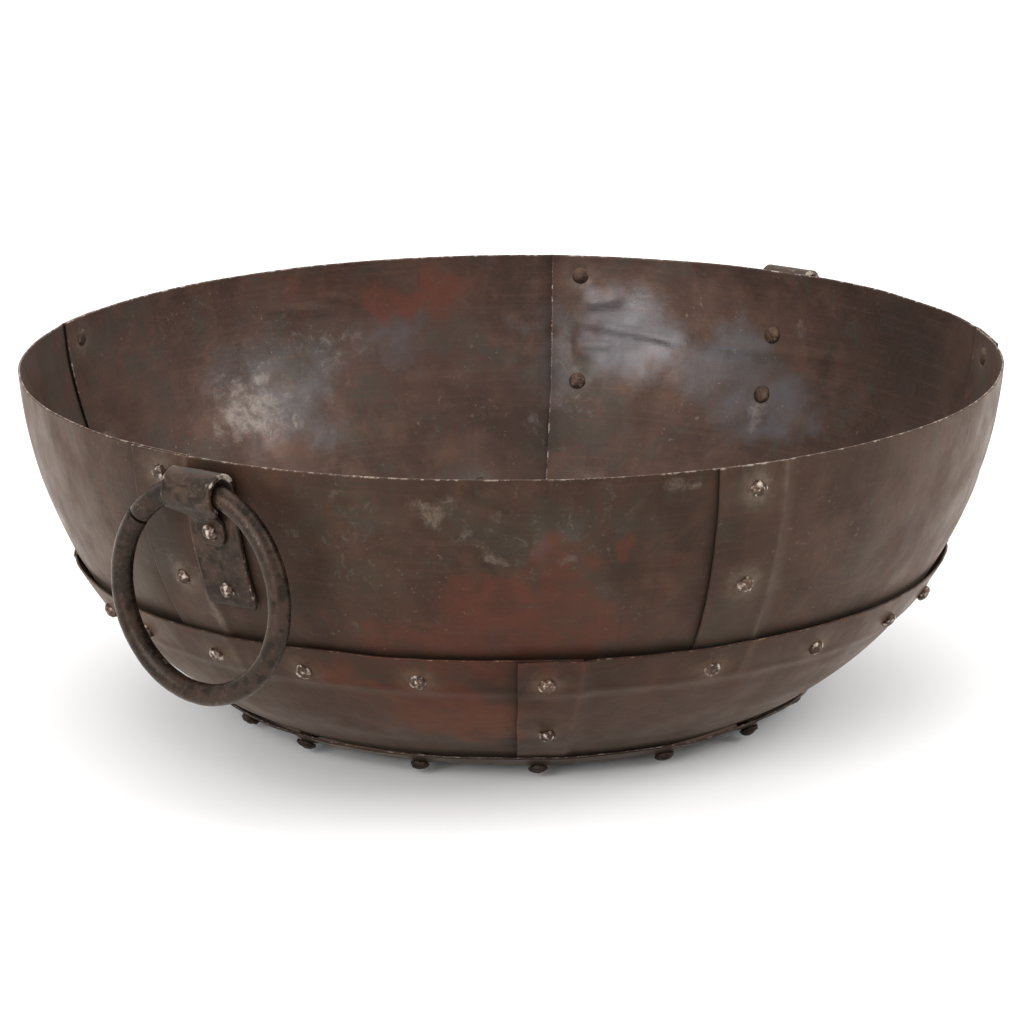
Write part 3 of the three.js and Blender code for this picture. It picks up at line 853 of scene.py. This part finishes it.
rings = {  # spans, top, foot, base and where the next ring covers it
    "upper": (upperSpans, 0, wall["upperFoot"], 0.0, wall["lowerTop"]),
    "lower": (lowerSpans, wall["lowerTop"], wall["lowerFoot"], lowerBase, wall["dishTop"]),
}
for ringName, (spans, top, foot, base, coverAt) in rings.items():
    for i, span in enumerate(spans, 1):
        plate = ringSheet(f"{ringName}Sheet_{i}", span, top, foot, base, coverAt)
        dress(plate, "bowl", ringName, f"{ringName}_sheet", f"{ringName}_plate_{i}")
    print(ringName, "ring laid")

dress(baseDish(), "bowl", "dish", "dish_sheet", "base_dish")
print("base dish laid")


# Rivets, placed by Geometry Nodes on one point for each.

rivet = {
    "headRadius": 6.0,
    "headHeight": 2.6,
    "tailRadius": 4.7,
    "tailHeight": 3.1,
    "wider": {"dishRivets": 1.2},  # how wide the tails are spread, 1 where not named
    # the dish rivets are left unrubbed, which darkens them as painted shade
    "rubbed": {"dishRivets": 0.02},  # how bright the tails are rubbed, 1 where not named
    "shank": 2.5,
    "beat": 1.5,  # how unevenly the tails are hammered
    "headBeat": 0.3,
    "beatSize": 3.3,
    "wallRadius": 280,  # roughly, where the rivets are
    "seed": 3,
}


def lapAt(deg, spans, base):
    for start, end in spans:
        past = (deg - start) % 360
        if past < wall["overlap"]:
            return base - sheet, base + step
    for start, end in spans:
        past = (deg - start) % 360
        if past < end - start - wall["overlap"]:
            out = float(seamOut(past, end - start, math.radians(1) * rivet["wallRadius"]))
            return base + out - sheet, base + out
    return base - sheet, base + step


def rivetTree():
    tree = bpy.data.node_groups.new("rivetWork", "GeometryNodeTree")
    face = tree.interface
    sizes = ("Head radius", "Head height", "Tail radius", "Tail height", "Shank radius", "Tail beat",
             "Head beat", "Beat size", "Rubbed", "Seed")
    kinds = {"Geometry": "NodeSocketGeometry"} | {name: "NodeSocketFloat" for name in sizes}
    kinds["Finish"] = "NodeSocketMaterial"
    ids = {}
    for name, kind in kinds.items():
        ids[name] = face.new_socket(name, in_out="INPUT", socket_type=kind).identifier
    face.new_socket("Geometry", in_out="OUTPUT", socket_type="NodeSocketGeometry")
    given = tree.nodes.new("NodeGroupInput").outputs

    def make(kind, inputs=None, **settings):
        return nodeOut(tree, kind, inputs, **settings)

    def read(name, kind="FLOAT"):
        return make("GeometryNodeInputNamedAttribute", {"Name": name}, data_type=kind)

    def store(geometry, name, value):
        inputs = {"Geometry": geometry, "Name": name, "Value": value}
        return make("GeometryNodeStoreNamedAttribute", inputs, data_type="FLOAT", domain="POINT")

    def scaled(vector, amount):
        return make("ShaderNodeVectorMath", {0: vector, "Scale": amount}, operation="SCALE")

    def shift(geometry, offset):
        return make("GeometryNodeSetPosition", {"Geometry": geometry, "Offset": offset})

    def xyz(x, y, z):
        return make("ShaderNodeCombineXYZ", {0: x, 1: y, 2: z})

    def bump(radius, height, peened):
        ball = make("GeometryNodeMeshIcoSphere", {"Radius": 1.0, "Subdivisions": 4})
        split = addNode(tree, "ShaderNodeSeparateXYZ", {0: make("GeometryNodeInputPosition")}).outputs
        seated = xyz(split[0], split[1], maths(tree, "MAXIMUM", split[2], -0.25))
        inputs = {0: seated, 1: xyz(radius, radius, height)}
        sized = make("ShaderNodeVectorMath", inputs, operation="MULTIPLY")
        shaped = make("GeometryNodeSetPosition", {"Geometry": ball, "Position": sized})
        return store(shaped, "peened", peened)

    facing = read("facing", "FLOAT_VECTOR")
    inward, outward = read("inward"), read("outward")
    point = make("FunctionNodeAlignRotationToVector", {"Vector": facing}, axis="Z")
    back = make("FunctionNodeRotateRotation", {0: point, 1: (math.pi, 0, 0)}, rotation_space="LOCAL")

    def onPoints(distance, shape, rotation, size=(1.0, 1.0, 1.0)):
        moved = shift(given["Geometry"], scaled(facing, distance))
        inputs = {"Points": moved, "Instance": shape, "Rotation": rotation, "Scale": size}
        return make("GeometryNodeInstanceOnPoints", inputs)

    heads = onPoints(times(tree, inward, -1.0), bump(given["Head radius"], given["Head height"], 0.0), back)
    tails = onPoints(outward, bump(given["Tail radius"], given["Tail height"], 1.0), point)
    bar = {"Vertices": 14, "Radius": given["Shank radius"], "Depth": 1.0}
    bar = make("GeometryNodeMeshCylinder", bar)
    middle = times(tree, maths(tree, "SUBTRACT", outward, inward), 0.5)
    shanks = onPoints(middle, bar, point, xyz(1.0, 1.0, plus(tree, inward, outward)))
    together = addNode(tree, "GeometryNodeJoinGeometry")
    for part in (shanks, tails, heads):
        tree.links.new(part, together.inputs[0])
    real = make("GeometryNodeRealizeInstances", {0: together.outputs[0]})

    beat = {"Vector": make("GeometryNodeInputPosition"), "W": given["Seed"],
            "Scale": maths(tree, "DIVIDE", 1.0, given["Beat size"]), "Detail": 1.6, "Roughness": 0.55}
    beat = make("ShaderNodeTexNoise", beat, noise_dimensions="4D")
    amount = make("ShaderNodeMix", {0: read("peened"), 2: given["Head beat"], 3: given["Tail beat"]})
    push = times(tree, maths(tree, "MULTIPLY_ADD", beat, 2.0, -1.0), amount)
    beaten = shift(real, scaled(make("GeometryNodeInputNormal"), push))
    # High spots are rubbed bright.
    rub = make("ShaderNodeMapRange", {0: beat, 1: 0.36, 2: 0.70, 3: 0.30, 4: 1.0})
    rub = make("ShaderNodeMix", {0: read("peened"), 2: 0.45, 3: times(tree, rub, given["Rubbed"])})
    smooth = make("GeometryNodeSetShadeSmooth", {0: store(beaten, "wear", rub)})
    finished = make("GeometryNodeSetMaterial", {"Geometry": smooth, "Material": given["Finish"]})
    tree.links.new(finished, tree.nodes.new("NodeGroupOutput").inputs[0])
    return tree, ids


rivetWork, rivetSockets = rivetTree()


def rivetPiece(name, places):
    points, facing, inward, outward = [], [], [], []
    pull = dishLook["pull"] if name == "dishRivets" else 1.0
    for deg, down, inner, outer in places:
        lift = float(metalLie(np.array(deg), np.array(down), pull))
        way = outOfWall(deg, down)
        points.append(onWall(deg, down, (inner + outer) / 2 + lift))
        facing.append(way)
        inward.append((outer - inner) / 2)
        outward.append((outer - inner) / 2)
    cloud = buildMesh(name, points, [])
    for key, values in (("inward", inward), ("outward", outward)):
        cloud.data.attributes.new(key, "FLOAT", "POINT").data.foreach_set("value", np.array(values) * mm)
    ways = cloud.data.attributes.new("facing", "FLOAT_VECTOR", "POINT")
    ways.data.foreach_set("vector", np.array(facing).ravel())
    work = cloud.modifiers.new("rivetWork", "NODES")
    work.node_group = rivetWork
    sizes = {
        "Head radius": rivet["headRadius"],
        "Head height": rivet["headHeight"],
        "Tail radius": rivet["tailRadius"] * rivet["wider"].get(name, 1),
        "Tail height": rivet["tailHeight"],
        "Shank radius": rivet["shank"],
        "Tail beat": rivet["beat"],
        "Head beat": rivet["headBeat"],
        "Beat size": rivet["beatSize"],
    }
    values = {key: value * mm for key, value in sizes.items()}
    values["Rubbed"] = float(rivet["rubbed"].get(name, 1))
    values["Seed"] = float(rivet["seed"])
    values["Finish"] = finishes["rivets"]
    for key, value in values.items():
        work[rivetSockets[key]] = value
    return bakeWork(cloud)


def bakeWork(worked):
    ready = worked.evaluated_get(bpy.context.evaluated_depsgraph_get())
    mesh = bpy.data.meshes.new_from_object(ready)
    worked.modifiers.clear()
    worked.data = mesh
    return worked


def platesAt(name, deg):
    innerUpper, outerUpper = lapAt(deg, upperSpans, 0.0)
    innerLower, outerLower = lapAt(deg, lowerSpans, lowerBase)
    if name.startswith("upper"):
        return innerUpper, outerUpper
    if name.startswith("lower"):
        return innerLower, outerLower
    if name.startswith("waist"):
        return innerUpper, outerLower
    if name.startswith("dish"):
        return innerLower, dishBase
    return innerUpper, None


strap = {
    "wide": 34.0,
    "thick": 3.0,
    "tongueWide": 19.0,
    "tongueTip": 9.0,
    "back": 1.9,  # from the wall line to the back of the strap
    "tailPast": 12.0,  # from a rivet to the end of its leaf
    "tonguePast": 8.0,
    "boreRadius": 9.0,
    "round": 0.9,
    "neck": (33, 11),  # from the tip to where the tongue narrows, and how long that takes
    "tipRound": 9,
    "leafGap": 0.25,
}
strapFront = strap["back"] + strap["thick"]

groups = {
    "seamRivets": ("upper", "lower"),
    "waistRivets": ("waist",),
    "dishRivets": ("dish",),
    "strapRivets": ("strap",),
}
for pieceName, starts in groups.items():
    named = [n for n in rivetNames if n.startswith(starts)]
    places = []
    for n in named:
        deg, down = rivetPlaces[n]
        inner, outer = platesAt(n, deg)
        if outer is None:
            outer = strapFront + (strap["thick"] + strap["leafGap"] if n.endswith("high") else 0)
        places.append((deg, down, inner, outer))
    if pieceName == "dishRivets":
        places += [(deg, down, *platesAt("dish", deg)) for deg, down in extraPlaces]
    dress(rivetPiece(pieceName, places), "bowl", "rivets", "rivet", *named)
print("rivets driven")


# Handle straps.

def strapLine(handle):
    half = strap["thick"] / 2
    rest = strap["back"] + half
    drop = rimHeight - handle["boreZ"]
    centre = np.array([handle["boreX"], handle["boreZ"]])
    downs = np.linspace(handle["low"] + strap["tailPast"], drop, 40)
    tail = onWall(90, downs, rest)[:, [0, 2]]
    turn = np.radians(np.linspace(176, -58, 48))
    roll = strap["boreRadius"] + half
    eye = centre + roll * np.stack([np.cos(turn), np.sin(turn)], 1)
    lying = np.linspace(drop + 22, handle["high"] + strap["tonguePast"], 12)
    tongue = onWall(90, lying, rest + strap["thick"] + strap["leafGap"])[:, [0, 2]]
    t = np.linspace(0, 1, 14)[1:-1, None]
    leave = np.array([math.sin(turn[-1]), -math.cos(turn[-1])])
    land = (tongue[1] - tongue[0]) / np.linalg.norm(tongue[1] - tongue[0])
    p0, p3 = eye[-1], tongue[0]
    p1, p2 = p0 + leave * 5.0, p3 - land * 5.5
    sweep = (1 - t) ** 3 * p0 + 3 * (1 - t) ** 2 * t * p1 + 3 * (1 - t) * t * t * p2 + t**3 * p3
    return np.concatenate([tail, eye[1:], sweep, tongue])


def turned(points, handle):
    turn = math.radians(handle["deg"] - 90)
    x, y, z = points.T
    c, s = math.cos(turn), math.sin(turn)
    return np.stack([x * c - y * s, x * s + y * c, z], 1)


def strapPiece(name, handle, seed):
    line = strapLine(handle)
    tangent = np.gradient(line, axis=0)
    tangent /= np.linalg.norm(tangent, axis=1)[:, None]
    normal = np.stack([tangent[:, 1], -tangent[:, 0]], 1)
    run = np.concatenate([[0], np.cumsum(np.linalg.norm(np.diff(line, axis=0), axis=1))])
    total = run[-1]
    neckAt, neckLong = strap["neck"]
    narrowing = ease((run - (total - neckAt)) / neckLong)
    tip = np.clip((total - run) / strap["tipRound"], 0, 1)
    width = strap["wide"] + (strap["tongueWide"] - strap["wide"]) * narrowing
    width = width - (strap["tongueWide"] - strap["tongueTip"]) * (1 - np.sqrt(tip * (2 - tip)))
    width = width - 5 * (1 - ease(run / 5)) ** 2 * 0.6
    spots = np.stack([run, run * 0 + seed, run * 0], -1)
    width = width + 0.7 * clouds(spots, 14, 91) + 0.3 * clouds(spots, 4, 92)
    half, bevel = strap["thick"] / 2, strap["round"]
    across = [-1, -0.985, -0.9, -0.6, -0.3, 0, 0.3, 0.6, 0.9, 0.985, 1]
    outline = [(s, half) for s in across] + [(-s, -half) for s in across]
    points, wear = [], []
    for i in range(len(line)):
        w = width[i] / 2
        endTaper = 1 - 0.45 * (1 - min(1, run[i] / 1.2)) - 0.45 * (1 - min(1, (total - run[i]) / 1.2))
        for s, n in outline:
            corner = abs(s) == 1
            y = s * w
            depth = (n - math.copysign(bevel, n) if corner else n) * endTaper
            x, z = line[i] + normal[i] * depth
            points.append((x, y, z))
            wear.append(0.5 if abs(s) > 0.95 else 0.1)
    points = np.array(points)
    points[:, [0, 2]] += 0.18 * np.stack([clouds(points, 11, 93 + seed), clouds(points, 11, 95 + seed)], 1)
    corners = len(outline)
    faces = tubeFaces(len(line), corners)
    high = points[:, 2] > handle["boreZ"] + 6
    wear = np.where(high, np.array(wear) + 0.3, wear) + 0.3 * clouds(points, 4, 97)
    wear = np.maximum(wear, 0.5 * np.exp(-np.minimum(run, total - run) / 1.2).repeat(corners))
    points = turned(points, handle)
    return buildMesh(name, points, faces, {"wear": wear, "shadeAndGrime": np.zeros(len(points))})


def outwardFaces(piece):
    mesh = piece.data
    volume = 0.0
    co = np.array([v.co for v in mesh.vertices])
    mesh.calc_loop_triangles()
    for tri in mesh.loop_triangles:
        a, b, c = co[list(tri.vertices)]
        volume += np.dot(a, np.cross(b, c))
    if volume < 0:
        mesh.flip_normals()
    return piece


for seed, side in enumerate(("left", "right"), 1):
    piece = outwardFaces(strapPiece(f"handleStrap_{side}", handles[side], seed))
    dress(piece, "bowl", "strap", "strap", f"handle_strap_{side}")
print("straps folded")


# Ring handles.

ring = {
    "halfWidth": 55.5,
    "halfHeight": 59.5,
    "rod": 6.45,
    "rise": 1.0,  # rod centre above the middle of the strap's eye
    "slit": 1.3,
    "slitDeg": 49,  # from the top of the ring
    "sides": 28,
    "steps": 230,
    "forging": 0.22,
}


def ringPiece(name, handle, seed):
    slit = ring["slit"] / ring["halfWidth"]
    start = math.radians(90 + ring["slitDeg"])
    way = start + slit / 2 + np.linspace(0, 1, ring["steps"]) * (2 * math.pi - slit)
    ends = np.minimum(np.arange(ring["steps"]), np.arange(ring["steps"])[::-1])
    way[1] = way[0] + 0.6 / ring["halfWidth"]
    way[-2] = way[-1] - 0.6 / ring["halfWidth"]
    spin = np.linspace(0, 2 * math.pi, ring["sides"], endpoint=False)
    rod = ring["rod"] * np.where(ends == 0, 0.9, 1.0)[:, None]
    wide, tall = ring["halfWidth"], ring["halfHeight"]
    tube = np.stack([way * 0, wide * np.cos(way), tall * np.sin(way)], -1)[:, None, :]
    away = np.stack([way * 0, tall * np.cos(way), wide * np.sin(way)], -1)
    away = (away / np.linalg.norm(away, axis=1, keepdims=True))[:, None, :]
    grid = tube + away * (rod * np.cos(spin))[..., None]
    grid[..., 0] += rod * np.sin(spin)
    flat = grid.reshape(-1, 3)
    outward = (grid - tube) / np.linalg.norm(grid - tube, axis=-1, keepdims=True)
    rough = ring["forging"] * (clouds(flat, 15, 101 + seed) + 0.5 * clouds(flat, 6, 103 + seed) - 0.6)
    flat = flat + outward.reshape(-1, 3) * rough[:, None]
    faces = tubeFaces(ring["steps"], ring["sides"])
    wear = 0.12 + 0.5 * ease(clouds(flat, 9, 105 + seed) * 2.2 - 0.6) + 0.2 * clouds(flat, 4, 107)
    # Painted shade with grime at the ends, across the slit.
    shadeAndGrime = np.repeat(np.exp(-ends / 1.2), ring["sides"])
    flat = turned(flat + (handle["boreX"], 0, handle["boreZ"] + ring["rise"] - tall), handle)
    return buildMesh(name, flat, faces, {"wear": wear, "shadeAndGrime": shadeAndGrime})


for seed, side in enumerate(("left", "right"), 1):
    piece = outwardFaces(ringPiece(f"ringHandle_{side}", handles[side], seed))
    dress(piece, f"ring_{side}", "ring", "ring_rod", f"ring_handle_{side}")
print("rings hung")


# Floor, light and camera.

studio = {
    "floorSize": 40.0,
    "floorTone": (0.92, 0.92, 0.92),
    "worldTone": (1.0, 0.995, 0.99),
    "worldPower": 1.15,
    "lights": [  # name, place, aimed at, size, power
        ("leftSoftbox", (-2.25, -0.10, 1.05), (0, 0, 0.12), 1.5, 36),
        ("rightSoftbox", (0.85, -1.85, 1.45), (0, 0, 0.12), 1.5, 26),
        ("overheadSoftbox", (0.2, 0.5, 2.4), (0, 0, 0.1), 2.8, 24),
    ],
}
view = {"azimuth": -54.5, "elevation": 13.16, "distance": 2.7, "lens": 155.5, "tilt": 2.03, "roll": -0.46}


def layFloor():
    material, tree, shader = newFinish("paleFloor")
    place = addNode(tree, "ShaderNodeTexCoord").outputs["Object"]
    tone = noise(tree, place, 3, 3, 0.5)
    colour = mixed(tree, tone, tuple(c * 0.98 for c in studio["floorTone"]), studio["floorTone"])
    fill(tree, shader, {"Base Color": colour, "Roughness": 0.85})
    half = studio["floorSize"] / 2 / mm
    corners = [(-half, -half, 0), (half, -half, 0), (half, half, 0), (-half, half, 0)]
    floor = buildMesh("floor", corners, [(0, 1, 2, 3)])
    floor.data.materials.append(material)


def hangLights():
    for name, place, aim, size, power in studio["lights"]:
        light = bpy.data.lights.new(name, "AREA")
        light.shape = "DISK"
        light.size = size
        light.energy = power
        lamp = bpy.data.objects.new(name, light)
        lamp.location = place
        lamp.rotation_euler = (Vector(aim) - Vector(place)).to_track_quat("-Z", "Y").to_euler()
        bpy.context.scene.collection.objects.link(lamp)
    world = bpy.data.worlds.new("studioWorld")
    world.use_nodes = True
    sky = world.node_tree.nodes["Background"]
    sky.inputs["Color"].default_value = (*studio["worldTone"], 1)
    sky.inputs["Strength"].default_value = studio["worldPower"]
    bpy.context.scene.world = world


def placeCamera():
    around, rise = math.radians(view["azimuth"]), math.radians(view["elevation"])
    flat = math.cos(rise)
    away = Vector((math.sin(around) * flat, -math.cos(around) * flat, math.sin(rise)))
    look, right = -away, Vector((math.cos(around), math.sin(around), 0))
    up = right.cross(look)
    tilt, roll = math.radians(view["tilt"]), math.radians(view["roll"])
    lookDown = look * math.cos(tilt) - up * math.sin(tilt)
    up = up * math.cos(tilt) + look * math.sin(tilt)
    across = right * math.cos(roll) + up * math.sin(roll)
    up = up * math.cos(roll) - right * math.sin(roll)
    camera = bpy.data.cameras.new("camera")
    camera.lens = view["lens"]
    camera.sensor_width = 36
    camera.clip_end = 100
    seat = bpy.data.objects.new("camera", camera)
    facing = Matrix((across, up, -lookDown)).transposed().to_4x4()
    place = Vector((0, 0, rimHeight * mm)) + away * view["distance"]
    seat.matrix_world = Matrix.Translation(place) @ facing
    bpy.context.scene.collection.objects.link(seat)
    bpy.context.scene.camera = seat


layFloor()
hangLights()
placeCamera()
bpy.context.scene.view_settings.view_transform = "Standard"
print("studio set")
